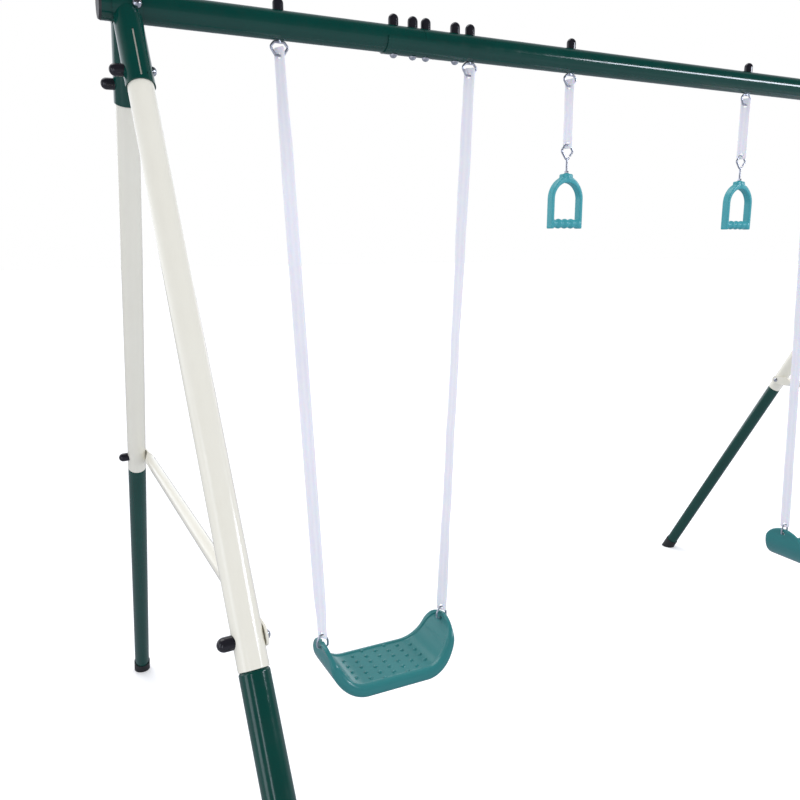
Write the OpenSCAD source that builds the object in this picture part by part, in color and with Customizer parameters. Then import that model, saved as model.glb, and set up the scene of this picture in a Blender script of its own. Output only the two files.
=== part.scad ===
// Garden swing set: two A-frames, a top bar of three tubes, two swings and a pair of gym handles.
// Millimetres. X runs along the top bar, Y from the front feet to the rear feet, Z up from the ground.

/* [Stance] */
// Height of the top bar's centre line above the ground
bar_height = 1740; // [1550:5:2100]
// Distance between the two A-frames along the top bar
frame_span = 2400; // [2300:10:3000]
// Distance between the front and rear feet of one A-frame
foot_spread = 1952; // [1500:2:2300]
// How far the feet of an A-frame stand inside its top end
toe_in = 54; // [0:1:80]

/* [Top bar] */
// Outside diameter of the top bar tubes
bar_od = 50.8; // [44:0.1:60]
// Wall of the top bar tubes
bar_wall = 1.6; // [1.2:0.1:3]
// How far the top bar reaches past an A-frame
bar_overhang = 40; // [36:1:80]
// Distance from an A-frame to the nearest butt joint of the top bar
joint_inset = 554; // [540:1:556]
// Gap between two butted tubes
butt_gap = 0.8; // [0.2:0.1:2]
// Thickness of the flange of a bar end plug
plug_flange = 4; // [2:0.5:8]
// Length of a bar end plug inside the tube
plug_depth = 18; // [10:1:25]

/* [Joint saddles] */
// Sheet thickness of a saddle
saddle_t = 2.5; // [1.5:0.1:3]
// Reach of a saddle from the butt joint toward its A-frame
saddle_reach_out = 81; // [72:1:120]
// Reach of a saddle from the butt joint toward the middle of the bar
saddle_reach_in = 100; // [92:1:100]
// Butt joint to the near bolt on the A-frame side
near_bolt_out = 17; // [13:1:30]
// Butt joint to the near bolt on the middle side
near_bolt_in = 12; // [11:1:30]
// Butt joint to the far bolt on the A-frame side
far_bolt_out = 59; // [52:1:68]
// Butt joint to the far bolt on the middle side
far_bolt_in = 79; // [54:1:84]

/* [Legs] */
// Outside diameter of the leg tubes
leg_od = 42.4; // [38:0.1:48]
// Wall of the leg tubes
leg_wall = 1.4; // [1:0.1:2.5]
// Bar centre line to the joint between the upper and lower leg, along the leg
leg_joint_reach = 1076; // [950:1:1150]
// Length of the swaged spigot inside the upper leg
spigot_len = 80; // [70:1:120]
// Radius of the shoulder where the spigot is swaged down
shoulder_r = 4; // [2:0.5:6]
// Height of a foot cap along the leg
foot_cap_len = 44; // [36:1:70]
// Wall of a foot cap
foot_cap_wall = 2.2; // [1.5:0.1:4]
// Least thickness of a foot cap's sole
sole_t = 5; // [3:0.5:10]

/* [A-frame brackets] */
// Sheet thickness of a bracket
bracket_t = 2.2; // [1.5:0.1:3]
// Reach of a leg sleeve from the bar's centre line, along the leg
sleeve_reach = 160; // [150:1:220]
// Bar centre line to the leg bolt, along the leg
leg_bolt_reach = 128; // [110:1:134]
// Width of the open seam of a leg sleeve
seam_w = 2.6; // [1:0.1:5]
// Sheet left whole below the seam
seam_margin = 6; // [3:0.5:10]

/* [Cross braces] */
// Outside diameter of a brace tube
brace_od = 24; // [18:0.5:30]
// Wall of a brace tube
brace_wall = 1.2; // [1:0.1:2.5]
// Width of the flattened end of a brace
brace_tab_w = 30; // [25:1:36]
// Thickness of the flattened end of a brace
brace_tab_t = 3.2; // [2:0.1:5]
// Length of the flattened end inside its bolt
brace_tab_len = 42; // [36:1:60]
// Leg joint to the brace bolt, up the leg
brace_bolt_rise = 40; // [25:1:55]

/* [Fasteners] */
// Diameter of the bolts
bolt_d = 8; // [6:0.1:9]
// Diameter of a domed bolt head
bolt_head_d = 16; // [14:0.5:18]
// Height of a domed bolt head
bolt_head_h = 6.5; // [3:0.5:8]
// Width of a nut across its flats
nut_af = 13; // [12:0.1:13.5]
// Height of a nut
nut_h = 6.5; // [5:0.1:8]
// Bolt end past its nut
bolt_proud = 2; // [1:0.5:4]
// Outside diameter of a nut cap
cap_od = 20; // [18.5:0.1:22]
// Height of a nut cap over its tube
cap_h = 21; // [20:0.5:28]

/* [Wire hangers and hooks] */
// Diameter of the bent wire
wire_d = 5; // [4:0.1:5.5]
// Diameter of a hanger's shank through the bar
shank_d = 6; // [5:0.1:8]
// Length of the straight wire that carries a strap
eye_flat = 14; // [13:0.5:18]
// Greatest width of a hanger's eye
eye_w = 33.5; // [32:0.5:40]
// Height from a hanger's straight wire to the widest point of its eye
eye_shoulder = 14.5; // [12:0.5:15.5]
// Height from a hanger's straight wire to the wire under the bar
eye_h = 23.2; // [22.5:0.1:27]
// Width of a hanger's eye under the bar
eye_top = 19; // [15:0.5:22]
// Greatest width of a hook's eye
hook_w = 31; // [29:0.5:38]
// Height from a hook's straight wire to the widest point of its eye
hook_shoulder = 13; // [11:0.5:18]
// Height from a hook's straight wire to its shank
hook_h = 34; // [30:0.5:40]
// Opening between a hook's free end and its shank
hook_gap = 4.5; // [3:0.5:6]
// Bend radius of the wire at its centre line
wire_bend = 5; // [3.5:0.1:5.5]

/* [Straps] */
// Width of a strap
strap_w = 25; // [20:0.5:28]
// Thickness of a strap
strap_t = 2.6; // [1.6:0.1:3]
// Diameter of the punched strap holes
strap_hole_d = 10; // [9.5:0.1:11]
// Strap left above its upper hole
strap_top = 15; // [10:0.5:16]
// Strap left below its lower hole
strap_bottom = 8; // [7.5:0.5:9]
// Corner radius of a strap's cut ends
strap_corner = 5; // [2:0.5:7]
// Turn of a swing strap about its length, from facing the front
swing_strap_turn = 60; // [50:1:75]
// Turn of a handle strap about its length, from facing the front
handle_strap_turn = 76; // [60:1:85]

/* [Swings] */
// Distance from an A-frame to the nearest swing hanger
swing_inset = 264; // [200:1:300]
// Distance between the two hangers of a swing
swing_gap = 404; // [400:1:420]
// Height of the seat holes above the ground
seat_hole_height = 498; // [400:1:700]
// Distance between the two holes of a seat
seat_hole_gap = 294; // [288:1:312]
// Width of a seat link between its wire centre lines
link_w = 24; // [23:0.5:28]
// Width of a seat link at the strap
link_top = 10.5; // [10:0.5:16]
// Height of a seat link between its wire centre lines
link_h = 28; // [27.5:0.5:34]
// Diameter of a seat link's wire
link_d = 4.5; // [3.5:0.1:5]
// Bend radius of a seat link
link_bend = 4; // [3:0.5:4.5]

/* [Seat] */
// Half of the seat's flat length
seat_flat = 72; // [60:1:74]
// Radius of the bend up to a flap
seat_bend = 72; // [55:1:74]
// Angle of the flaps from level
flap_angle = 75.5; // [72:0.5:79]
// Depth of the seat from front to rear
seat_depth = 163; // [140:1:200]
// Width of a flap before its tip is rounded
flap_w = 121; // [100:1:136]
// Flap past its hole
flap_tip = 14; // [13:0.5:15]
// Thickness of the seat at its edge
edge_t = 30; // [24:1:34]
// Thickness of a flap at its hole
hole_t = 9.6; // [8.4:0.2:10]
// Width of the raised edge round the pan
edge_w = 12; // [10.5:0.5:18]
// Height of the raised edge above the pan
edge_step = 2; // [1:0.5:3]
// Diameter of the flap holes
flap_hole_d = 10; // [9.5:0.5:11]

/* [Gym handles] */
// Distance between the two handle hangers
handle_gap = 550; // [460:1:560]
// Height between the two holes of a handle strap
handle_drop = 123; // [100:1:200]
// Wire between a hook's eye and its handle
hook_neck = 26; // [20:1:50]
// Diameter of a hook's threaded shank
hook_shank_d = 5; // [4:0.1:6]
// Height of a handle
handle_h = 122; // [112:1:150]
// Width of a handle
handle_w = 86; // [76:1:100]
// Thickness of a handle from front to rear
handle_t = 20; // [17:0.5:26]
// Width of a handle's side arm
arm_w = 8; // [7:0.5:11]
// Depth of the crown above the hand gap
crown_h = 21.5; // [20:0.5:26]
// Diameter of the grip
grip_d = 22; // [20:0.5:28]
// Depth of a finger groove in the grip
groove_depth = 2.2; // [0.5:0.1:3]
// Width of the shoulder block on the crown
crown_w = 29; // [26:0.5:34]
// Turn of a hanging handle from facing the front
handle_turn = 0; // [0:1:45]

/* [Clearances] */
// Radial clearance of a bolt in its hole
hole_clear = 0.25; // [0.1:0.05:0.5]
// Radial clearance of a tube in a sleeve, cap or tube
fit_clear = 0.3; // [0.1:0.05:0.5]
// Radial clearance of a swivelling shank in its bore
swivel_clear = 0.08; // [0.03:0.01:0.1]
// Gap between faces that only just miss each other
face_gap = 0.4; // [0.2:0.1:1]

/* [Hidden] */
$fn = 48;

left = -1;
right = 1;
front = -1;
rear = 1;
outer = -1;
inner = 1;
sides = [left, right];
ends = [front, rear];

green = "#0b4a3f";
cream = "#eeeee6";
black = "#2e2d31";
zinc = "#c9ccd2";
vinyl = "#e2e5f4";
seat_teal = "#3d8486";
handle_teal = "#46959a";

bar_r = bar_od / 2;
leg_r = leg_od / 2;
cap_r = cap_od / 2;
hole_d = bolt_d + 2 * hole_clear;
nut_corner_r = nut_af / 2 / cos(30);
cut = 1;
far = 4 * bar_height;

// A-frame plane and leg lines, from the stance
toe = atan(toe_in / bar_height);
leg_angle = atan(foot_spread / 2 * cos(toe) / bar_height);
leg_reach = bar_height / cos(toe) / cos(leg_angle);
sleeve_bore_r = leg_r + fit_clear;
sleeve_r = sleeve_bore_r + bracket_t;
crotch_wall = 3;
leg_top = (sleeve_bore_r * cos(leg_angle) + crotch_wall / 2) / sin(leg_angle);
collar_bore_r = bar_r + fit_clear;
collar_r = collar_bore_r + bracket_t;
bar_bolt_offset = sleeve_r - bolt_head_d / 2 - 1;
bar_bolt_seat = collar_r + 1.6;
seam_top = leg_top + bracket_t + 20;
vent_angle = 26;
vent_d = 3;
vent_rise = 12;
spigot_r = leg_r - leg_wall - fit_clear;
brace_bolt_reach = leg_joint_reach - brace_bolt_rise;
brace_y = brace_bolt_reach * sin(leg_angle);
brace_drop = brace_bolt_reach * cos(leg_angle);
brace_offset = leg_r + brace_tab_t / 2;
brace_tab_y = brace_y - brace_tab_len;
brace_flare_y = brace_tab_y - 1.2 * brace_od;
bore_end = leg_reach - (sole_t + leg_r * sin(leg_angle)) / cos(leg_angle);

// Stations along the bar, measured from the middle for the right half
apex_x = frame_span / 2;
joint_x = apex_x - joint_inset;
outer_hanger_x = apex_x - swing_inset;
inner_hanger_x = outer_hanger_x - swing_gap;
handle_x = handle_gap / 2;
swing_x = (outer_hanger_x + inner_hanger_x) / 2;
saddle_bolt_xs = [for (reach = [near_bolt_out, far_bolt_out, -near_bolt_in, -far_bolt_in]) joint_x + reach];
hanger_xs = [outer_hanger_x, inner_hanger_x, handle_x];
saddle_r = bar_r + saddle_t;

// Hanging gear
eye_drop = eye_h + wire_d / 2 + face_gap;
hang_z = bar_height - bar_r - eye_drop;
eye_path = [[-eye_flat / 2, 0], [eye_flat / 2, 0], [eye_w / 2, eye_shoulder], [eye_top / 2, eye_h],
    [-eye_top / 2, eye_h], [-eye_w / 2, eye_shoulder]];
hook_path = [[-eye_flat / 2, 0], [eye_flat / 2, 0], [hook_w / 2, hook_shoulder], [0, hook_h],
    [-hook_w / 2, hook_shoulder]];
link_path = [[-link_w / 2, 0], [link_w / 2, 0], [link_w / 2, link_h / 2], [link_top / 2, link_h],
    [-link_top / 2, link_h], [-link_w / 2, link_h / 2]];
link_bends = [link_bend, link_bend, 3 * link_bend];
link_top_z = seat_hole_height + link_h;
strap_lean = atan((swing_gap - seat_hole_gap) / 2 / (hang_z - link_top_z));
swing_strap_len = (hang_z - link_top_z) / cos(strap_lean);
wire_seat = 0.5;
weld = 0.1;
hook_gap_place = 0.42;
hook_z = hang_z - handle_drop;
handle_z = hook_z - hook_h - hook_neck;

// Seat along its own length, from the middle of the pan to a flap's tip
bend_len = seat_bend * flap_angle * PI / 180;
flap_rise = seat_bend * (1 - cos(flap_angle));
flap_run = seat_hole_gap / 2 - seat_flat - seat_bend * sin(flap_angle);
flap_len = flap_run / cos(flap_angle);
hole_rise = flap_rise + flap_len * sin(flap_angle);
pan_z = seat_hole_height - hole_rise;
seat_hole_u = seat_flat + bend_len + flap_len;
seat_u = seat_hole_u + flap_tip;
tip_round = 42;
tip_power = 1.8;
pan_rise = 2.5;
edge_fade = 12;
shoulder_d = 4;
edge_corner = 10;
tip_half = 0.05;
seat_steps = 20;

// Handle in its own frame: the top of the crown is at zero, the grip at the bottom
arm_x = handle_w / 2;
gap_w = handle_w - 2 * arm_w;
gap_rise = 0.51 * gap_w;
spring_z = -crown_h - gap_rise;
grip_z = -handle_h + grip_d / 2;
shoulder_drop = 10;
outer_rise = -shoulder_drop - spring_z;
outer_in = arm_x - crown_w / 2 + 2;
hook_bore_d = hook_shank_d + 2 * swivel_clear;
lock_nut_r = hook_shank_d;
lock_nut_h = 4.5;
pocket_r = lock_nut_r + fit_clear;
pocket_top = -crown_h + lock_nut_h + 4;
jam_nut_h = 4;
grooves = 4;

function unit(v) = v / norm(v);
function wrap(a) = (a + 540) % 360 - 180;
function smooth(t) = let (s = min(1, max(0, t))) s * s * (3 - 2 * s);
function arch_r(rise, run) = (rise * rise + run * run) / (2 * run);

// Places a part of the left half, or its mirror image in the right half
module on_side(side) {
    if (side == left) children();
    else mirror([1, 0, 0]) children();
}

// Frame of the left A-frame: origin at the bar's centre line, down along its own plane
module a_frame() {
    translate([-apex_x, 0, bar_height]) rotate([0, -toe, 0]) children();
}

// Frame of one leg of the left A-frame: the leg runs down its Z axis
module along_leg(end) {
    a_frame() rotate([end * leg_angle, 0, 0]) children();
}

// Turns a bolt stack so that its head is on the inner side of a leg
module across_leg(reach) {
    translate([0, 0, -reach]) rotate([0, -90, 0]) children();
}

// Turns a bolt stack so that its head is on the front of the bar
module across_bar() {
    translate([-apex_x + bar_bolt_offset, 0, bar_height]) rotate([-90, 0, 0]) children();
}

module bar_rod(r, x0, x1) {
    translate([x0, 0, bar_height]) rotate([0, 90, 0]) cylinder(r = r, h = x1 - x0);
}

module leg_rod(r, d0, d1) {
    translate([0, 0, -d1]) cylinder(r = r, h = d1 - d0);
}

// Domed carriage bolt along Z: head under the lower seat, end past a nut on the upper seat
module carriage_bolt(lower, upper) {
    head_r = bolt_head_d / 2;
    dome_r = (head_r * head_r + bolt_head_h * bolt_head_h) / (2 * bolt_head_h);
    translate([0, 0, -lower]) mirror([0, 0, 1]) rotate_extrude() intersection() {
        translate([0, bolt_head_h - dome_r]) circle(dome_r);
        square([head_r, bolt_head_h]);
    }
    translate([0, 0, -lower - cut / 2])
        cylinder(d = bolt_d, h = lower + upper + nut_h + bolt_proud + cut / 2);
}

module hex_nut(seat, bore) {
    translate([0, 0, seat]) difference() {
        cylinder(r = nut_corner_r, h = nut_h, $fn = 6);
        translate([0, 0, -cut]) cylinder(d = bore, h = nut_h + 2 * cut);
    }
}

// Domed cap over a nut, its skirt cut to sit on the tube below it
module nut_cap(tube_r) {
    pocket_h = nut_h + bolt_proud + 1;
    difference() {
        rotate_extrude() {
            square([cap_r, tube_r + cap_h - cap_r]);
            intersection() {
                translate([0, tube_r + cap_h - cap_r]) circle(cap_r);
                square([cap_r, tube_r + cap_h]);
            }
        }
        cylinder(r = nut_corner_r + fit_clear, h = tube_r + pocket_h);
        rotate([0, 90, 0]) cylinder(r = tube_r + face_gap / 4, h = 4 * cap_od, center = true);
    }
}

// Closed loop of round wire in the XZ plane, its corners bent to the radii in turn and welded at their ends
module wire_loop(path, bends, d) {
    n = len(path);
    rotate([90, 0, 0]) for (i = [0 : n - 1]) {
        here = path[i];
        next = path[(i + 1) % n];
        bend = bends[i % len(bends)];
        back = unit(path[(i + n - 1) % n] - here);
        ahead = unit(next - here);
        half = acos(back * ahead) / 2;
        setback = bend / tan(half);
        next_half = acos(unit(here - next) * unit(path[(i + 2) % n] - next)) / 2;
        run = norm(next - here) - setback - bends[(i + 1) % len(bends)] / tan(next_half);
        centre = here + unit(back + ahead) * bend / sin(half);
        start = here + ahead * setback - centre;
        first = here + back * setback - centre;
        a0 = atan2(first[1], first[0]);
        sweep = wrap(atan2(start[1], start[0]) - a0);
        trim = atan(weld / bend);
        translate([centre[0], centre[1], 0]) rotate([0, 0, (sweep < 0 ? a0 + sweep : a0) + trim])
            rotate_extrude(angle = abs(sweep) - 2 * trim) translate([bend, 0]) circle(d = d);
        translate([here[0] + ahead[0] * setback, here[1] + ahead[1] * setback, 0])
            rotate([0, 0, atan2(ahead[1], ahead[0])]) rotate([0, 90, 0])
                translate([0, 0, weld]) cylinder(d = d, h = run - 2 * weld);
        for (p = [here + ahead * setback, here + back * setback])
            translate([p[0], p[1], 0]) sphere(d = d + weld);
    }
}

// Stations along a closed path in the XZ plane, its corners bent to the radii in turn
function bent_path(path, bends) = let (n = len(path)) [for (i = [0 : n - 1]) let (
    here = path[i],
    bend = bends[i % len(bends)],
    back = unit(path[(i + n - 1) % n] - here),
    ahead = unit(path[(i + 1) % n] - here),
    half = acos(back * ahead) / 2,
    centre = here + unit(back + ahead) * bend / sin(half),
    first = here + back * bend / tan(half) - centre,
    last = here + ahead * bend / tan(half) - centre,
    a0 = atan2(first[1], first[0]),
    sweep = wrap(atan2(last[1], last[0]) - a0),
    steps = max(2, round(abs(sweep) / 18))
) for (k = [0 : steps]) let (a = a0 + sweep * k / steps) centre + bend * [cos(a), sin(a)]];

// Closed ring of bent wire, its round section drawn as sixteen flats
module wire_ring(path, bends, d) {
    line = bent_path(path, bends);
    n = len(line);
    sides = 16;
    skin = [for (i = [0 : n - 1]) let (
        ahead = unit(line[(i + 1) % n] - line[i]),
        along = unit(ahead + unit(line[i] - line[(i + n - 1) % n])),
        out = [along[1], -along[0]] / (along * ahead)
    ) for (k = [0 : sides - 1]) let (reach = d / 2 * cos(k * 360 / sides))
        [line[i][0] + out[0] * reach, d / 2 * sin(k * 360 / sides), line[i][1] + out[1] * reach]];
    polyhedron(skin, [for (i = [0 : n - 1], k = [0 : sides - 1]) let (j = (i + 1) % n, m = (k + 1) % sides)
        [i * sides + k, j * sides + k, j * sides + m, i * sides + m]]);
}

module bolt_hole_down(x) {
    translate([x, 0, bar_height - 2 * bar_od]) cylinder(d = hole_d, h = 4 * bar_od);
}

module hanger_hole(x) {
    translate([x, 0, bar_height - 2 * bar_od]) cylinder(d = shank_d + 2 * hole_clear, h = 4 * bar_od);
}

// Tube of the top bar between two stations, drilled for its bolts and hangers
module bar_tube(x0, x1) {
    difference() {
        bar_rod(bar_r, x0, x1);
        bar_rod(bar_r - bar_wall, x0 - cut, x1 + cut);
        for (side = sides) {
            for (x = saddle_bolt_xs) bolt_hole_down(side * x);
            for (x = hanger_xs) hanger_hole(side * x);
            on_side(side) across_bar() cylinder(d = hole_d, h = 4 * bar_od, center = true);
        }
    }
}

module end_bar(side) {
    color(green) on_side(side) bar_tube(-apex_x - bar_overhang, -joint_x - butt_gap / 2);
}

module middle_bar() {
    color(green) bar_tube(-joint_x + butt_gap / 2, joint_x - butt_gap / 2);
}

// Half-round sheet under a butt joint
module joint_saddle(side) {
    x0 = -joint_x - saddle_reach_out;
    x1 = -joint_x + saddle_reach_in;
    color(green) on_side(side) difference() {
        bar_rod(saddle_r, x0, x1);
        bar_rod(bar_r + face_gap / 4, x0 - cut, x1 + cut);
        translate([x0 - cut, -bar_od, bar_height]) cube([x1 - x0 + 2 * cut, 2 * bar_od, bar_od]);
        for (x = saddle_bolt_xs) bolt_hole_down(-x);
    }
}

// Collar round the bar with a seamed sleeve for each leg
module frame_bracket(side) {
    color(green) on_side(side) difference() {
        union() {
            bar_rod(collar_r, -apex_x - sleeve_r, -apex_x + sleeve_r);
            for (end = ends) along_leg(end) leg_rod(sleeve_r, 0, sleeve_reach);
        }
        bar_rod(collar_bore_r, -apex_x - 2 * sleeve_r, -apex_x + 2 * sleeve_r);
        for (end = ends) along_leg(end) {
            leg_rod(sleeve_bore_r, leg_top, sleeve_reach + cut);
            across_leg(leg_bolt_reach) cylinder(d = hole_d, h = 4 * sleeve_r, center = true);
            seam_h = sleeve_reach - seam_margin - seam_top;
            translate([-seam_w / 2, end > 0 ? 0 : -2 * sleeve_r, seam_margin - sleeve_reach])
                cube([seam_w, 2 * sleeve_r, seam_h]);
            translate([0, 0, -sleeve_reach + vent_rise]) rotate([0, 0, -end * vent_angle])
                rotate([-end * 90, 0, 0]) cylinder(d = vent_d, h = 2 * sleeve_r);
        }
        across_bar() cylinder(d = hole_d, h = 4 * bar_od, center = true);
    }
}

// Cream tube from the bracket to the leg joint
module upper_leg(side, end) {
    color(cream) on_side(side) along_leg(end) difference() {
        leg_rod(leg_r, leg_top + face_gap, leg_joint_reach);
        leg_rod(leg_r - leg_wall, leg_top - cut, leg_joint_reach + cut);
        for (reach = [leg_bolt_reach, brace_bolt_reach])
            across_leg(reach) cylinder(d = hole_d, h = 4 * leg_od, center = true);
    }
}

// Green tube with a swaged spigot that plugs into the upper leg
module lower_leg(side, end) {
    top = leg_joint_reach + face_gap;
    inner_r = leg_r - leg_wall;
    throat_r = spigot_r - leg_wall;
    color(green) on_side(side) along_leg(end) difference() {
        rotate_extrude() {
            translate([throat_r, -top - shoulder_r]) square([spigot_r - throat_r, spigot_len + shoulder_r]);
            difference() {
                translate([throat_r, -top - shoulder_r]) square([leg_r - throat_r, shoulder_r]);
                difference() {
                    translate([leg_r - shoulder_r, -top - shoulder_r]) square(2 * shoulder_r);
                    translate([leg_r - shoulder_r, -top - shoulder_r]) circle(shoulder_r);
                }
            }
            translate([throat_r, -top - 2 * shoulder_r]) square([leg_r - throat_r, shoulder_r]);
            translate([inner_r, -bore_end + face_gap])
                square([leg_wall, bore_end - face_gap - top - 2 * shoulder_r]);
        }
        across_leg(brace_bolt_reach) cylinder(d = hole_d, h = 4 * leg_od, center = true);
    }
}

// Plastic cap on a leg's end, cut level with the ground
module foot_cap(side, end) {
    color(black) on_side(side) difference() {
        along_leg(end)
            leg_rod(leg_r + fit_clear + foot_cap_wall, leg_reach - foot_cap_len, leg_reach + leg_od);
        along_leg(end) leg_rod(leg_r + fit_clear, leg_reach - foot_cap_len - cut, bore_end);
        translate([-far / 2, -far / 2, -far]) cube([far, far, far]);
    }
}

// Half outline of a brace turned about its length: a tube that widens to flattened, rounded ends
module brace_outline() {
    tab_r = brace_tab_w / 2;
    tube_r = brace_od / 2;
    polygon([[0, -brace_y], [tab_r, -brace_y], [tab_r, -brace_tab_y], [tube_r, -brace_flare_y],
        [tube_r, brace_flare_y], [tab_r, brace_tab_y], [tab_r, brace_y], [0, brace_y]]);
    for (end = ends) intersection() {
        translate([0, end * brace_y]) circle(tab_r);
        translate([0, -2 * brace_y]) square([brace_tab_w, 4 * brace_y]);
    }
}

// Plan of a brace as it is squeezed flat toward its ends
module brace_plan() {
    tab_x = brace_tab_t / 2;
    clear_x = brace_od / 2 + cut;
    end_y = brace_y + brace_tab_w;
    polygon([[-tab_x, -end_y], [tab_x, -end_y], [tab_x, -brace_tab_y], [clear_x, -brace_flare_y],
        [clear_x, brace_flare_y], [tab_x, brace_tab_y], [tab_x, end_y], [-tab_x, end_y],
        [-tab_x, brace_tab_y], [-clear_x, brace_flare_y],
        [-clear_x, -brace_flare_y], [-tab_x, -brace_tab_y]]);
}

// Level tube between the legs of an A-frame, its ends flattened and bolted inside the legs
module cross_brace(side) {
    color(cream) on_side(side) a_frame() translate([brace_offset, 0, -brace_drop]) difference() {
        intersection() {
            rotate([-90, 0, 0]) rotate_extrude() brace_outline();
            linear_extrude(height = 2 * brace_tab_w, center = true) brace_plan();
        }
        rotate([90, 0, 0]) cylinder(d = brace_od - 2 * brace_wall, h = 2 * brace_flare_y, center = true);
        for (end = ends) translate([0, end * brace_y, 0]) rotate([0, 90, 0])
            cylinder(d = hole_d, h = 4 * brace_tab_t, center = true);
    }
}

module bar_end_plugs() {
    plug_r = bar_r - bar_wall - fit_clear;
    color(black) for (side = sides) on_side(side) translate([-apex_x - bar_overhang, 0, bar_height])
        rotate([0, 90, 0]) {
            cylinder(r = plug_r, h = plug_depth);
            translate([0, 0, -plug_flange])
                cylinder(r1 = bar_r - plug_flange / 2, r2 = bar_r, h = plug_flange);
        }
}

module at_saddle_bolts() {
    for (side = sides) for (x = saddle_bolt_xs) translate([side * x, 0, bar_height]) children();
}

module saddle_bolts() {
    color(zinc) at_saddle_bolts() carriage_bolt(saddle_r, bar_r);
}

module saddle_nuts() {
    color(zinc) at_saddle_bolts() hex_nut(bar_r, hole_d);
}

module saddle_nut_caps() {
    color(black) at_saddle_bolts() nut_cap(bar_r);
}

module at_leg_bolts(reach) {
    for (side = sides) for (end = ends) on_side(side) along_leg(end) across_leg(reach) children();
}

module bracket_bolts() {
    color(zinc) {
        at_leg_bolts(leg_bolt_reach) carriage_bolt(sleeve_r, sleeve_r);
        for (side = sides) on_side(side) across_bar() carriage_bolt(bar_bolt_seat, bar_bolt_seat);
    }
}

module bracket_nuts() {
    color(zinc) {
        at_leg_bolts(leg_bolt_reach) hex_nut(sleeve_r, hole_d);
        for (side = sides) on_side(side) across_bar() hex_nut(bar_bolt_seat, hole_d);
    }
}

module bracket_nut_caps() {
    color(black) at_leg_bolts(leg_bolt_reach) nut_cap(sleeve_r);
}

module brace_bolts() {
    color(zinc) at_leg_bolts(brace_bolt_reach) carriage_bolt(leg_r + brace_tab_t, leg_r);
}

module brace_nuts() {
    color(zinc) at_leg_bolts(brace_bolt_reach) hex_nut(leg_r, hole_d);
}

module brace_nut_caps() {
    color(black) at_leg_bolts(brace_bolt_reach) nut_cap(leg_r);
}

module at_hangers() {
    for (side = sides) for (x = hanger_xs) translate([side * x, 0, bar_height]) children();
}

module hanger_nuts() {
    color(zinc) at_hangers() hex_nut(bar_r, shank_d + 2 * hole_clear);
}

module hanger_nut_caps() {
    color(black) at_hangers() nut_cap(bar_r);
}

// Bent-wire eye under the bar, with a shank through it
module hanger(x) {
    neck = eye_drop - eye_h + wire_d / 4;
    color(zinc) translate([x, 0, hang_z]) {
        wire_ring(eye_path, [wire_bend], wire_d);
        translate([0, 0, eye_drop - neck]) cylinder(d = shank_d, h = neck + bar_od + nut_h + bolt_proud);
    }
}

module strap_outline(length) {
    top = strap_top;
    low = -length - strap_bottom;
    inset = strap_w / 2 - strap_corner;
    translate([-inset, low]) square([2 * inset, top - low]);
    translate([-strap_w / 2, low + strap_corner]) square([strap_w, top - low - 2 * strap_corner]);
    for (x = [-inset, inset]) for (y = [low + strap_corner, top - strap_corner])
        translate([x, y]) circle(strap_corner);
}

// Flat strap that hangs from the origin, with a hole on the wire at each end
module strap(length, turn) {
    slack = strap_hole_d / 2 - strap_t / 2 * tan(90 - turn) - wire_d / 2 / sin(turn) - wire_seat;
    color(vinyl) rotate([0, 0, -turn]) rotate([90, 0, 0]) difference() {
        linear_extrude(height = strap_t, center = true) strap_outline(length);
        for (y = [-slack, -length + slack])
            translate([0, y, 0]) cylinder(d = strap_hole_d, h = 4 * strap_t, center = true);
    }
}

module swing_strap(side, place) {
    x = side * (place == outer ? outer_hanger_x : inner_hanger_x);
    translate([x, 0, hang_z]) rotate([0, side * -place * strap_lean, 0])
        strap(swing_strap_len, swing_strap_turn);
}

// Bent-wire link through the lower hole of a strap and the hole of a flap
module seat_link(side, place) {
    color(zinc) translate([side * swing_x - side * place * seat_hole_gap / 2, 0, seat_hole_height])
        wire_ring(link_path, link_bends, link_d);
}

// Point of the seat's middle surface at a distance along its length, as [x, z, slope]
function seat_at(u) = let (
    s = sign(u),
    d = abs(u),
    a = min(max((d - seat_flat) / bend_len, 0), 1) * flap_angle,
    rest = max(d - seat_flat - bend_len, 0)
) [s * (min(d, seat_flat) + seat_bend * sin(a) + rest * cos(flap_angle)),
    seat_bend * (1 - cos(a)) + rest * sin(flap_angle), s * a];

// Half depth of the seat there: full across the pan, drawn in to the flap, round at its tip
function seat_half(u) = let (
    d = abs(u),
    body = seat_depth / 2 - (seat_depth - flap_w) / 2 * smooth((d - seat_flat) / (seat_hole_u - seat_flat)),
    t = min(1, max(d - seat_u + tip_round, 0) / tip_round)
) body * max(pow(1 - pow(t, tip_power), 1 / tip_power), tip_half);

// Share by which a flap is pinched there: none below its shoulder, all of it round its hole
function pinch_at(u) = smooth((abs(u) - seat_hole_u + shoulder_d + edge_fade) / edge_fade);

// Thickness of the seat there: full round the pan and up the flaps, thin where a flap is pinched
function thick_at(u) = edge_t + (hole_t - edge_t) * pinch_at(u);

// Height of the edge there over the seat's middle surface, which runs through the holes
function crest_at(u) = let (
    pan = pan_rise + edge_step,
    body = pan + (edge_t / 2 - pan) * smooth((abs(u) - seat_flat) / bend_len)
) body + (hole_t / 2 - body) * pinch_at(u);

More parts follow.
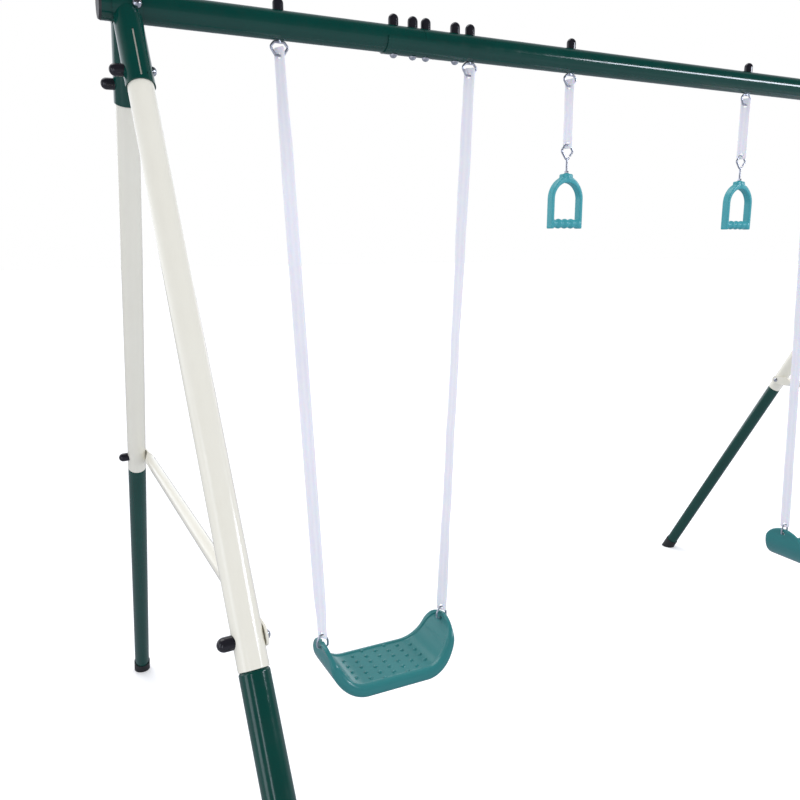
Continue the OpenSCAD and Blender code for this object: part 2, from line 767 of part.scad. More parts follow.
// One closed section across the seat: a flat underside, thick round edges and a pan a little below them
function seat_section(u) = let (
    p = seat_at(u),
    w = seat_half(u),
    crest = crest_at(u),
    top = min(crest, 0.45 * w),
    low = max(crest - thick_at(u), -0.9 * w),
    h = (crest - edge_step) * top / crest,
    b = min(edge_w, 0.7 * w),
    c = min(edge_corner, 0.4 * (top - low), 0.4 * w),
    half = concat([for (a = [-90 : 30 : 0]) [w - c + c * cos(a), low + c + c * sin(a)]],
        [for (a = [0 : 30 : 90]) [w - c + c * cos(a), top - c + c * sin(a)]],
        [[w - b, top - 0.1 * c], [w - 1.25 * b, h]]),
    ring = concat(half, [for (i = [len(half) - 1 : -1 : 0]) [-half[i][0], half[i][1]]])
) [for (q = ring) [p[0] - q[1] * sin(p[2]), q[0], p[1] + q[1] * cos(p[2])]];

seat_us = concat(
    [for (i = [-6 : -1]) -seat_u + tip_round * (i + 6) * (i + 6) / 36],
    [for (i = [0 : seat_steps]) (seat_u - tip_round) * (2 * i / seat_steps - 1)],
    [for (i = [1 : 6]) seat_u - tip_round * (6 - i) * (6 - i) / 36]);

module seat_body() {
    rings = [for (u = seat_us) seat_section(u)];
    m = len(rings[0]);
    n = len(rings);
    sides_faces = [for (i = [0 : n - 2]) for (j = [0 : m - 1]) for (half = [0, 1])
        let (k = (j + 1) % m, a = i * m + j, b = i * m + k, c = (i + 1) * m + k, d = (i + 1) * m + j)
        half == 0 ? [a, b, c] : [a, c, d]];
    first_cap = [for (j = [0 : m / 2 - 2]) for (half = [0, 1])
        half == 0 ? [j, m - 1 - j, j + 1] : [j + 1, m - 1 - j, m - 2 - j]];
    base = (n - 1) * m;
    last_cap = [for (f = first_cap) [base + f[0], base + f[2], base + f[1]]];
    polyhedron([for (ring = rings) for (p = ring) p], concat(sides_faces, first_cap, last_cap));
}

module seat(side) {
    color(seat_teal) translate([side * swing_x, 0, pan_z]) difference() {
        seat_body();
        for (place = [outer, inner]) translate([place * seat_hole_gap / 2, 0, hole_rise]) rotate([0, 90, 0])
            cylinder(d = flap_hole_d, h = 3 * edge_t, center = true);
    }
}

module handle_strap(side) {
    translate([side * handle_x, 0, hang_z]) strap(handle_drop, handle_strap_turn);
}

// Bent-wire hook through a strap, open beside its threaded shank down into the handle
module handle_hook(side) {
    shank_end = pocket_top - lock_nut_h - 1;
    arm = [hook_w / 2, hook_h - hook_shoulder];
    color(zinc) translate([side * handle_x, 0, hook_z]) {
        difference() {
            mirror([0, 0, 1]) wire_loop(hook_path, [wire_bend], wire_d);
            translate([arm[0] * hook_gap_place, 0, arm[1] * hook_gap_place - hook_h])
                rotate([0, atan2(arm[0], arm[1]), 0])
                    cube([3 * wire_d, 2 * wire_d, hook_gap], center = true);
        }
        translate([0, 0, handle_z - hook_z + shank_end])
            cylinder(d = hook_shank_d, h = hook_neck + wire_d - shank_end);
    }
}

module shank_nut(r, z, h) {
    translate([0, 0, z]) difference() {
        cylinder(r = r, h = h, $fn = 6);
        translate([0, 0, -cut]) cylinder(d = hook_bore_d, h = h + 2 * cut);
    }
}

module handle_nuts(side) {
    color(zinc) translate([side * handle_x, 0, handle_z]) {
        shank_nut(lock_nut_r, face_gap, jam_nut_h);
        shank_nut(lock_nut_r, pocket_top - face_gap - lock_nut_h, lock_nut_h);
    }
}

// Pointed arch with straight legs, its springing line at spring_z
module arch(half_w, rise, run, low) {
    r = arch_r(rise, run);
    intersection() {
        translate([half_w - r, spring_z]) circle(r, $fn = 96);
        translate([r - half_w, spring_z]) circle(r, $fn = 96);
        translate([-half_w, spring_z]) square([2 * half_w, handle_h]);
    }
    translate([-half_w, low]) square([2 * half_w, spring_z - low]);
}

// Moulded stirrup: an arch with a shouldered crown, and a grip with finger grooves
module handle(side) {
    color(handle_teal) translate([side * handle_x, 0, handle_z]) rotate([0, 0, -handle_turn]) difference() {
        union() {
            rotate([90, 0, 0]) linear_extrude(height = handle_t, center = true) difference() {
                intersection() {
                    arch(arm_x, outer_rise, outer_in, -handle_h);
                    translate([-arm_x, -handle_h]) square([handle_w, handle_h - shoulder_drop / 2]);
                }
                arch(gap_w / 2, gap_rise, gap_w / 2, -2 * handle_h);
            }
            translate([-crown_w / 2, -handle_t / 2 + 1, -shoulder_drop - 4])
                cube([crown_w, handle_t - 2, shoulder_drop + 2]);
            translate([0, 0, -crown_h + 2]) cylinder(d = handle_t + 2, h = crown_h - 2);
            translate([0, 0, grip_z]) rotate([0, 90, 0]) difference() {
                cylinder(d = grip_d, h = gap_w + arm_w, center = true);
                for (i = [0 : grooves - 1]) translate([0, 0, gap_w * ((i + 0.5) / grooves - 0.5)])
                    rotate_extrude() translate([grip_d / 2 + gap_w / grooves / 2 - groove_depth, 0])
                        circle(d = gap_w / grooves);
            }
        }
        translate([0, 0, pocket_top - cut]) cylinder(d = hook_bore_d, h = crown_h);
        translate([0, 0, -crown_h - handle_t / 2])
            cylinder(r = pocket_r, h = pocket_top + crown_h + handle_t / 2);
    }
}

end_bar(left);  // top_bar_left
middle_bar();  // top_bar_middle
end_bar(right);  // top_bar_right
joint_saddle(left);  // joint_saddle_left
joint_saddle(right);  // joint_saddle_right
frame_bracket(left);  // frame_bracket_left
frame_bracket(right);  // frame_bracket_right
upper_leg(left, front);  // upper_leg_front_left
upper_leg(left, rear);  // upper_leg_rear_left
upper_leg(right, front);  // upper_leg_front_right
upper_leg(right, rear);  // upper_leg_rear_right
lower_leg(left, front);  // lower_leg_front_left
lower_leg(left, rear);  // lower_leg_rear_left
lower_leg(right, front);  // lower_leg_front_right
lower_leg(right, rear);  // lower_leg_rear_right
foot_cap(left, front);  // foot_cap_front_left
foot_cap(left, rear);  // foot_cap_rear_left
foot_cap(right, front);  // foot_cap_front_right
foot_cap(right, rear);  // foot_cap_rear_right
cross_brace(left);  // cross_brace_left
cross_brace(right);  // cross_brace_right
bar_end_plugs();
saddle_bolts();
saddle_nuts();
saddle_nut_caps();
bracket_bolts();
bracket_nuts();
bracket_nut_caps();
brace_bolts();
brace_nuts();
brace_nut_caps();
hanger_nuts();
hanger_nut_caps();
hanger(left * outer_hanger_x);  // left_swing_outer_hanger
hanger(left * inner_hanger_x);  // left_swing_inner_hanger
hanger(right * outer_hanger_x);  // right_swing_outer_hanger
hanger(right * inner_hanger_x);  // right_swing_inner_hanger
hanger(left * handle_x);  // left_handle_hanger
hanger(right * handle_x);  // right_handle_hanger
swing_strap(left, outer);  // left_swing_outer_strap
swing_strap(left, inner);  // left_swing_inner_strap
seat_link(left, outer);  // left_swing_outer_link
seat_link(left, inner);  // left_swing_inner_link
seat(left);  // left_swing_seat
swing_strap(right, outer);  // right_swing_outer_strap
swing_strap(right, inner);  // right_swing_inner_strap
seat_link(right, outer);  // right_swing_outer_link
seat_link(right, inner);  // right_swing_inner_link
seat(right);  // right_swing_seat
handle_strap(left);  // left_handle_strap
handle_hook(left);  // left_handle_hook
handle_nuts(left);  // left_handle_nuts
handle(left);  // left_handle
handle_strap(right);  // right_handle_strap
handle_hook(right);  // right_handle_hook
handle_nuts(right);  // right_handle_nuts
handle(right);  // right_handle
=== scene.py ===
"""Looks of a garden swing set: enamelled tube, vinyl straps, moulded seats and handles.

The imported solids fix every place. Sizes in this file are millimetres and become metres when
a mesh is made. X runs along the top bar, Y to the rear and Z up from the ground.
"""

import logging
import math
from dataclasses import dataclass
from enum import Enum
from typing import Any

import bmesh
import bpy
import numpy as np
from mathutils import Matrix, Vector


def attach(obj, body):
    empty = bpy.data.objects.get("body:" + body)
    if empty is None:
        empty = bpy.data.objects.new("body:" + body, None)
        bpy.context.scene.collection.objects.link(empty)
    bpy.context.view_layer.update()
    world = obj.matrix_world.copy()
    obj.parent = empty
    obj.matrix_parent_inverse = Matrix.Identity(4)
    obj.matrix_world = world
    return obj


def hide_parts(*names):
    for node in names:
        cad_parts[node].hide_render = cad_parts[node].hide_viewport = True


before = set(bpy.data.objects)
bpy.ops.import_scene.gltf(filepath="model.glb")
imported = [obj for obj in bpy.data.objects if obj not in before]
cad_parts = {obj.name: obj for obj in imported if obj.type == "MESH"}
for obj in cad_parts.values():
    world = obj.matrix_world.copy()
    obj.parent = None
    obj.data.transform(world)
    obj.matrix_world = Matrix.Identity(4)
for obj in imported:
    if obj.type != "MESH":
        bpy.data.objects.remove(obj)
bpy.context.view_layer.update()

log = logging.getLogger("swing_set")
MM = 0.001
# Places that the straps, seats and handles share with the solids
SWING_X = 734.0
SEAT_HOLE_GAP = 294.0
SEAT_HOLE_HEIGHT = 498.0
HANDLE_X = 275.0
HANGER_HEIGHT = 1688.5
LINK_HEIGHT = 526.0
HOOK_HEIGHT = 1565.5
HANDLE_TOP = 1505.5
STRAP_TOP_X = {"OUTER": 936.0, "INNER": 532.0}
# Scale at which a band texture repeats once a metre: its phase runs 20 radians in each unit
WAVE_TURN = 2 * math.pi / 20


class Side(Enum):
    """The two halves of the set, with the sign of their X."""

    LEFT = -1
    RIGHT = 1

    @property
    def word(self) -> str:
        """The side's name as the nodes and bodies use it."""
        return self.name.lower()


class Place(Enum):
    """The two straps of a swing: towards the end frame, or towards the middle of the bar."""

    OUTER = 1
    INNER = -1

    @property
    def word(self) -> str:
        """The place's name as the nodes use it."""
        return self.name.lower()


def linear(code: str) -> tuple[float, float, float, float]:
    """Turns an sRGB hex colour into linear light.

    Args:
        code: Colour as "#rrggbb".

    Returns:
        Red, green, blue and an alpha of one.
    """
    channel = np.array([int(code[i:i + 2], 16) for i in (1, 3, 5)]) / 255
    light = np.where(channel <= 0.04045, channel / 12.92, ((channel + 0.055) / 1.055) ** 2.4)
    return (*light.tolist(), 1.0)


def per_mm(size: float) -> float:
    """Texture scale whose features measure size millimetres on coordinates in metres."""
    return 1000.0 / size


def add_node(tree: bpy.types.NodeTree, kind: str, inputs: dict[Any, Any] | None = None,
             **settings: Any) -> bpy.types.Node:
    """Adds one shader node.

    Args:
        tree: Node tree that gets the node.
        kind: Blender's name of the node type.
        inputs: Values, or sockets to link from, by input name or index.
        **settings: Properties of the node itself.

    Returns:
        The new node.
    """
    made = tree.nodes.new(kind)
    for key, value in settings.items():
        setattr(made, key, value)
    for key, value in (inputs or {}).items():
        if isinstance(value, bpy.types.NodeSocket):
            tree.links.new(value, made.inputs[key])
        else:
            made.inputs[key].default_value = value
    return made


def new_material(name: str) -> tuple[bpy.types.Material, bpy.types.NodeTree, bpy.types.Node]:
    """Makes an empty node material.

    Args:
        name: The material's name.

    Returns:
        The material, its node tree and its Principled shader.
    """
    material = bpy.data.materials.new(name)
    material.use_nodes = True
    tree = material.node_tree
    tree.nodes.clear()
    shader = add_node(tree, "ShaderNodeBsdfPrincipled")
    add_node(tree, "ShaderNodeOutputMaterial", {"Surface": shader.outputs["BSDF"]})
    return material, tree, shader


@dataclass(frozen=True)
class BakedEnamel:
    """Baked enamel on drawn steel tube: a deep even gloss over a faint orange peel."""

    name: str
    colour: str
    thick: str
    roughness: float = 0.13
    flow_mm: float = 90.0
    peel_mm: float = 3.2
    rub_mm: float = 26.0

    def material(self) -> bpy.types.Material:
        """Builds it: sprayed thickness shifts the tone, handling dulls the gloss in soft patches."""
        material, tree, shader = new_material(self.name)
        place = add_node(tree, "ShaderNodeTexCoord").outputs["Object"]
        flow = add_node(tree, "ShaderNodeTexNoise",
                        {"Vector": place, "Scale": per_mm(self.flow_mm), "Detail": 3.0})
        tone = add_node(tree, "ShaderNodeMix", {0: flow.outputs["Fac"], 6: linear(self.colour),
                                                7: linear(self.thick)}, data_type="RGBA")
        rub = add_node(tree, "ShaderNodeTexNoise",
                       {"Vector": place, "Scale": per_mm(self.rub_mm), "Detail": 6.0, "Roughness": 0.62})
        dull = add_node(tree, "ShaderNodeMapRange",
                        {"Value": rub.outputs["Fac"], "From Min": 0.42, "From Max": 0.78,
                         "To Min": self.roughness, "To Max": self.roughness + 0.16})
        peel = add_node(tree, "ShaderNodeTexNoise",
                        {"Vector": place, "Scale": per_mm(self.peel_mm), "Detail": 1.0})
        bump = add_node(tree, "ShaderNodeBump",
                        {"Height": peel.outputs["Fac"], "Strength": 0.16, "Distance": 0.0003})
        tree.links.new(tone.outputs[2], shader.inputs["Base Color"])
        tree.links.new(dull.outputs["Result"], shader.inputs["Roughness"])
        tree.links.new(bump.outputs["Normal"], shader.inputs["Normal"])
        shader.inputs["IOR"].default_value = 1.5
        shader.inputs["Coat Weight"].default_value = 0.25
        shader.inputs["Coat Roughness"].default_value = 0.06
        return material


@dataclass(frozen=True)
class ZincPlate:
    """Bright zinc plate on steel: a bluish mirror broken by fine crystals and thumbed patches."""

    name: str
    colour: str
    dull: str
    roughness: float = 0.17
    crystal_mm: float = 2.2
    film_mm: float = 9.0

    def material(self) -> bpy.types.Material:
        """Builds it: small crystals vary the gloss, a thin grey film sits in broader patches."""
        material, tree, shader = new_material(self.name)
        place = add_node(tree, "ShaderNodeTexCoord").outputs["Object"]
        film = add_node(tree, "ShaderNodeTexNoise",
                        {"Vector": place, "Scale": per_mm(self.film_mm), "Detail": 5.0})
        grey = add_node(tree, "ShaderNodeMapRange", {"Value": film.outputs["Fac"], "From Min": 0.45,
                                                     "From Max": 0.75, "To Min": 0.0, "To Max": 0.8})
        tone = add_node(tree, "ShaderNodeMix", {0: grey.outputs["Result"], 6: linear(self.colour),
                                                7: linear(self.dull)}, data_type="RGBA")
        crystal = add_node(tree, "ShaderNodeTexVoronoi",
                           {"Vector": place, "Scale": per_mm(self.crystal_mm)})
        gloss = add_node(tree, "ShaderNodeMapRange",
                         {"Value": crystal.outputs["Distance"], "From Min": 0.0, "From Max": 0.8,
                          "To Min": self.roughness, "To Max": self.roughness + 0.06})
        bump = add_node(tree, "ShaderNodeBump", {"Height": crystal.outputs["Distance"],
                                                 "Strength": 0.05, "Distance": 0.0002})
        tree.links.new(tone.outputs[2], shader.inputs["Base Color"])
        tree.links.new(gloss.outputs["Result"], shader.inputs["Roughness"])
        tree.links.new(bump.outputs["Normal"], shader.inputs["Normal"])
        shader.inputs["Metallic"].default_value = 1.0
        return material


@dataclass(frozen=True)
class MouldedPlastic:
    """Moulded polyethylene or polypropylene: satin gloss with the tool's fine spark grain."""

    name: str
    colour: str
    cloudy: str
    roughness: float = 0.34
    grain_mm: float = 1.4
    cloud_mm: float = 55.0
    grain_depth: float = 0.10
    rub_mm: float = 14.0

    def material(self) -> bpy.types.Material:
        """Builds it: slow flow clouds in the colour, a fine grain, and faint rubbed patches."""
        material, tree, shader = new_material(self.name)
        place = add_node(tree, "ShaderNodeTexCoord").outputs["Object"]
        cloud = add_node(tree, "ShaderNodeTexNoise",
                         {"Vector": place, "Scale": per_mm(self.cloud_mm), "Detail": 4.0})
        tone = add_node(tree, "ShaderNodeMix", {0: cloud.outputs["Fac"], 6: linear(self.colour),
                                                7: linear(self.cloudy)}, data_type="RGBA")
        rub = add_node(tree, "ShaderNodeTexNoise",
                       {"Vector": place, "Scale": per_mm(self.rub_mm), "Detail": 7.0, "Roughness": 0.6})
        dull = add_node(tree, "ShaderNodeMapRange",
                        {"Value": rub.outputs["Fac"], "From Min": 0.4, "From Max": 0.75,
                         "To Min": self.roughness, "To Max": self.roughness + 0.06})
        grain = add_node(tree, "ShaderNodeTexNoise",
                         {"Vector": place, "Scale": per_mm(self.grain_mm), "Detail": 2.0})
        bump = add_node(tree, "ShaderNodeBump", {"Height": grain.outputs["Fac"],
                                                 "Strength": self.grain_depth, "Distance": 0.0003})
        tree.links.new(tone.outputs[2], shader.inputs["Base Color"])
        tree.links.new(dull.outputs["Result"], shader.inputs["Roughness"])
        tree.links.new(bump.outputs["Normal"], shader.inputs["Normal"])
        shader.inputs["IOR"].default_value = 1.5
        return material


@dataclass(frozen=True)
class VinylWebbing:
    """Flat webbing dipped in soft vinyl: milky, slightly see-through, its cords ghosting through."""

    name: str
    colour: str
    cord: str
    cord_mm: float = 10.4
    thread_mm: float = 3.2
    milk_mm: float = 40.0

    def material(self) -> bpy.types.Material:
        """Builds it on the strap's UV map, which gives metres across and along the webbing.

        Its cords and threads are drawn coarser than real ones, so that they show.
        """
        material, tree, shader = new_material(self.name)
        flat = add_node(tree, "ShaderNodeTexCoord").outputs["UV"]
        place = add_node(tree, "ShaderNodeTexCoord").outputs["Object"]
        cords = add_node(tree, "ShaderNodeTexWave",
                         {"Vector": flat, "Scale": per_mm(self.cord_mm) * WAVE_TURN,
                          "Distortion": 0.6, "Detail": 1.0, "Detail Scale": 0.4},
                         wave_type="BANDS", bands_direction="X", wave_profile="SIN")
        milky = add_node(tree, "ShaderNodeTexNoise",
                         {"Vector": place, "Scale": per_mm(self.milk_mm), "Detail": 4.0})
        ghost = add_node(tree, "ShaderNodeMath", {0: cords.outputs["Fac"], 1: milky.outputs["Fac"]},
                         operation="MULTIPLY")
        tone = add_node(tree, "ShaderNodeMix", {0: ghost.outputs[0], 6: linear(self.colour),
                                                7: linear(self.cord)}, data_type="RGBA")
        weft = add_node(tree, "ShaderNodeTexWave",
                        {"Vector": flat, "Scale": per_mm(self.thread_mm) * WAVE_TURN,
                         "Distortion": 0.4, "Detail": 1.0},
                        wave_type="BANDS", bands_direction="Y", wave_profile="SIN")
        soft = add_node(tree, "ShaderNodeBump", {"Height": weft.outputs["Fac"], "Strength": 0.06,
                                                 "Distance": 0.0003})
        ribs = add_node(tree, "ShaderNodeBump", {"Height": cords.outputs["Fac"], "Strength": 0.25,
                                                 "Distance": 0.0004, "Normal": soft.outputs["Normal"]})
        dull = add_node(tree, "ShaderNodeMapRange", {"Value": milky.outputs["Fac"], "From Min": 0.35,
                                                     "From Max": 0.7, "To Min": 0.3, "To Max": 0.46})
        tree.links.new(tone.outputs[2], shader.inputs["Base Color"])
        tree.links.new(dull.outputs["Result"], shader.inputs["Roughness"])
        tree.links.new(ribs.outputs["Normal"], shader.inputs["Normal"])
        shader.inputs["IOR"].default_value = 1.53
        shader.inputs["Subsurface Weight"].default_value = 0.25
        shader.inputs["Subsurface Scale"].default_value = 0.002
        return material


@dataclass(frozen=True)
class StudioPaper:
    """Seamless white paper under the set, plain and matt, that throws only a little light back."""

    name: str = "white seamless paper"
    colour: str = "#f6f6f6"
    bounce: str = "#c4c6cc"
    mirrored: str = "#96989e"
    glow: float = 0.2
    tooth_mm: float = 3.0

    def material(self) -> bpy.types.Material:
        """Builds it: one pale tone with a slight tooth, greyer where it lights the set or shows in it."""
        material, tree, shader = new_material(self.name)
        place = add_node(tree, "ShaderNodeTexCoord").outputs["Object"]
        ray = add_node(tree, "ShaderNodeLightPath").outputs
        seen = ray["Is Camera Ray"]
        grey = add_node(tree, "ShaderNodeMix", {0: ray["Is Glossy Ray"], 6: linear(self.bounce),
                                                7: linear(self.mirrored)}, data_type="RGBA")
        tone = add_node(tree, "ShaderNodeMix", {0: seen, 6: grey.outputs[2], 7: linear(self.colour)},
                        data_type="RGBA")
        glow = add_node(tree, "ShaderNodeMath", {0: seen, 1: self.glow}, operation="MULTIPLY")
        tooth = add_node(tree, "ShaderNodeTexNoise", {"Vector": place, "Scale": per_mm(self.tooth_mm)})
        bump = add_node(tree, "ShaderNodeBump", {"Height": tooth.outputs["Fac"], "Strength": 0.03,
                                                 "Distance": 0.0002})
        tree.links.new(bump.outputs["Normal"], shader.inputs["Normal"])
        tree.links.new(tone.outputs[2], shader.inputs["Base Color"])
        tree.links.new(glow.outputs[0], shader.inputs["Emission Strength"])
        shader.inputs["Roughness"].default_value = 0.9
        shader.inputs["Specular IOR Level"].default_value = 0.1
        shader.inputs["Emission Color"].default_value = (1.0, 1.0, 1.0, 1.0)
        return material


class Finishes:
    """Every finish on the set, each built once and found by its material slot."""

    def __init__(self) -> None:
        """Builds the materials."""
        self.by_slot: dict[str, bpy.types.Material] = {
            "green_enamel": BakedEnamel("baked green enamel", "#00433a", "#023a33").material(),
            "cream_enamel": BakedEnamel("baked cream enamel", "#f1eee0", "#ece8d8").material(),
            "black_gloss_plastic": MouldedPlastic("glossy black polypropylene", "#1c1b21", "#232228",
                                                  0.1, 1.2, 8.0, 0.04).material(),
            "black_rubbery_plastic": MouldedPlastic("satin black polyethylene", "#232425", "#2d2e2f",
                                                    0.45, 1.2, 18.0, 0.2).material(),
            "zinc_hardware": ZincPlate("bright zinc plate", "#d6d8e0", "#aeb2bb", 0.12).material(),
            "zinc_wire": ZincPlate("zinc-plated drawn wire", "#d8dbe6", "#b6bac6", 0.3).material(),
            "white_vinyl": VinylWebbing("vinyl-dipped webbing", "#f7f8ff", "#eef0fb").material(),
            "seat_teal_plastic": MouldedPlastic("moulded teal polyethylene", "#2d7879",
                                                "#327d7e", 0.2, grain_depth=0.03).material(),
            "handle_teal_plastic": MouldedPlastic("moulded blue-teal polyethylene", "#3fa0a9",
                                                  "#47a6ae", 0.3, 1.2, 30.0).material(),
        }

    def put(self, piece: bpy.types.Object, slot: str) -> None:
        """Gives a piece one finish all over.

        Args:
            piece: Mesh object, a solid from the frame or a new piece.
            slot: Name of the material slot.
        """
        if not piece.material_slots:
            piece.data.materials.append(self.by_slot[slot])
        for held in piece.material_slots:
            held.material = self.by_slot[slot]


def smooth(t: np.ndarray) -> np.ndarray:
    """Smooth step from 0 to 1: three t squared less two t cubed, held flat outside."""
    t = np.clip(t, 0.0, 1.0)
    return t * t * (3.0 - 2.0 * t)


def ease(x: np.ndarray, stations: tuple[tuple[float, float], ...]) -> np.ndarray:
    """Carries a value smoothly through stations, flat at each of them.

    Args:
        x: Where the value is wanted.
        stations: Pairs of place and value, in rising order of place.

    Returns:
        The value at each x.
    """
    at, value = np.array(stations, float).T
    i = np.clip(np.searchsorted(at, x, side="right") - 1, 0, len(at) - 2)
    return value[i] + (value[i + 1] - value[i]) * smooth((x - at[i]) / (at[i + 1] - at[i]))


def grid_faces(rows: int, columns: int) -> np.ndarray:
    """Quads of a grid whose columns close into a ring and whose rows run from end to end.

    Args:
        rows: Number of rings.
        columns: Points in each ring.

    Returns:
        Array of four vertex numbers for each face.
    """
    i, j = np.meshgrid(np.arange(rows - 1), np.arange(columns), indexing="ij")
    k = (j + 1) % columns
    quads = [i * columns + j, i * columns + k, (i + 1) * columns + k, (i + 1) * columns + j]
    return np.stack(quads, -1).reshape(-1, 4)


def make_piece(name: str, parts: list[np.ndarray], uv: np.ndarray | None = None,
               sharp: float = 50.0) -> bpy.types.Object:
    """Puts one or more closed tubes of rings into one mesh object at the origin.

    Args:
        name: The piece's name.
        parts: Arrays of rows, columns and XYZ in millimetres; a row at one point makes a pole.
        uv: Metres across and along for each point of the only part, if it has a map.
        sharp: Edges that bend by more degrees than this are shaded as creases.

    Returns:
        The object, merged at its poles and with its faces pointing outwards.
    """
    starts = np.cumsum([0] + [p.shape[0] * p.shape[1] for p in parts])
    faces = np.concatenate([grid_faces(*p.shape[:2]) + s for p, s in zip(parts, starts)])
    points = np.concatenate([p.reshape(-1, 3) for p in parts]) * MM
    mesh = bpy.data.meshes.new(name)
    mesh.from_pydata(points.tolist(), [], faces.tolist())
    if uv is not None:
        corner = np.empty(len(mesh.loops), np.int32)
        mesh.loops.foreach_get("vertex_index", corner)
        mesh.uv_layers.new(name="Webbing").data.foreach_set("uv", uv.reshape(-1, 2)[corner].ravel())
    work = bmesh.new()
    work.from_mesh(mesh)
    bmesh.ops.remove_doubles(work, verts=work.verts, dist=2e-6)
    bmesh.ops.recalc_face_normals(work, faces=work.faces)
    work.to_mesh(mesh)
    work.free()
    mesh.polygons.foreach_set("use_smooth", np.ones(len(mesh.polygons), bool))
    mesh.set_sharp_from_angle(angle=math.radians(sharp))
    piece = bpy.data.objects.new(name, mesh)
    bpy.context.scene.collection.objects.link(piece)
    return piece


def settle(piece: bpy.types.Object) -> None:
    """Turns a piece's modifiers into its mesh."""
    bpy.context.view_layer.update()
    seen = piece.evaluated_get(bpy.context.evaluated_depsgraph_get())
    mesh = bpy.data.meshes.new_from_object(seen)
    old, name = piece.data, piece.name
    piece.modifiers.clear()
    piece.data = mesh
    bpy.data.meshes.remove(old)
    mesh.name = name


def rod(start: np.ndarray, axis: np.ndarray, length: float, radius: float) -> np.ndarray:
    """Closed round rod: circles of one radius along an axis, with a pole at each end.

    Args:
        start: Middle of its first end.
        axis: Unit vector along it.
        length: Length along the axis.
        radius: Its radius.

    Returns:
        Rings of points.
    """
    aside = np.cross(axis, [0.0, 0.0, 1.0] if abs(axis[2]) < 0.9 else [1.0, 0.0, 0.0])
    aside /= np.linalg.norm(aside)
    turn = np.linspace(0, 2 * math.pi, 40, endpoint=False)[None, :, None]
    ring = aside * np.cos(turn) + np.cross(axis, aside) * np.sin(turn)
    along = np.array([0.0, 0.0, length, length])[:, None, None] * axis
    return start + along + ring * (radius * np.array([0.0, 1.0, 1.0, 0.0]))[:, None, None]


def punch(piece: bpy.types.Object, rods: list[np.ndarray], sharp: float = 50.0) -> None:
    """Cuts round holes through a piece.

    Args:
        piece: Closed mesh object.
        rods: Rods from rod(), one for each hole.
        sharp: Angle in degrees past which an edge is shaded as a crease.
    """
    cutter = make_piece("punch", rods)
    cut = piece.modifiers.new("holes", "BOOLEAN")
    cut.operation, cut.solver, cut.object = "DIFFERENCE", "EXACT", cutter
    settle(piece)
    spent = cutter.data
    bpy.data.objects.remove(cutter)
    bpy.data.meshes.remove(spent)
    piece.data.set_sharp_from_angle(angle=math.radians(sharp))


@dataclass
class TubeFrame:
    """The steel frame, its fasteners and its bent wire: solids that keep their own shape."""

    finishes: Finishes
    starts: tuple[tuple[str, str], ...] = (
        ("foot_cap", "black_rubbery_plastic"), ("top_bar", "green_enamel"), ("joint_saddle", "green_enamel"),
        ("frame_bracket", "green_enamel"), ("lower_leg", "green_enamel"), ("upper_leg", "cream_enamel"),
        ("cross_brace", "cream_enamel"))
    ends: tuple[tuple[str, str], ...] = (
        ("_caps", "black_gloss_plastic"), ("_plugs", "black_rubbery_plastic"), ("_hanger", "zinc_wire"),
        ("_link", "zinc_wire"), ("_hook", "zinc_wire"), ("_strap", "white_vinyl"),
        ("_seat", "seat_teal_plastic"), ("_handle", "handle_teal_plastic"))

    def slot_of(self, node: str) -> str:
        """Names the finish that a solid has on the real set.

        Args:
            node: The solid's node name.

        Returns:
            Name of its material slot.
        """
        for start, slot in self.starts:
            if node.startswith(start):
                return slot
        for end, slot in self.ends:
            if node.endswith(end):
                return slot
        return "zinc_hardware"

    def dress(self) -> None:
        """Gives every solid of the frame its finish."""
        for name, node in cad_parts.items():
            self.finishes.put(node, self.slot_of(name))
            log.info("dressed %s in %s", name, self.slot_of(name))


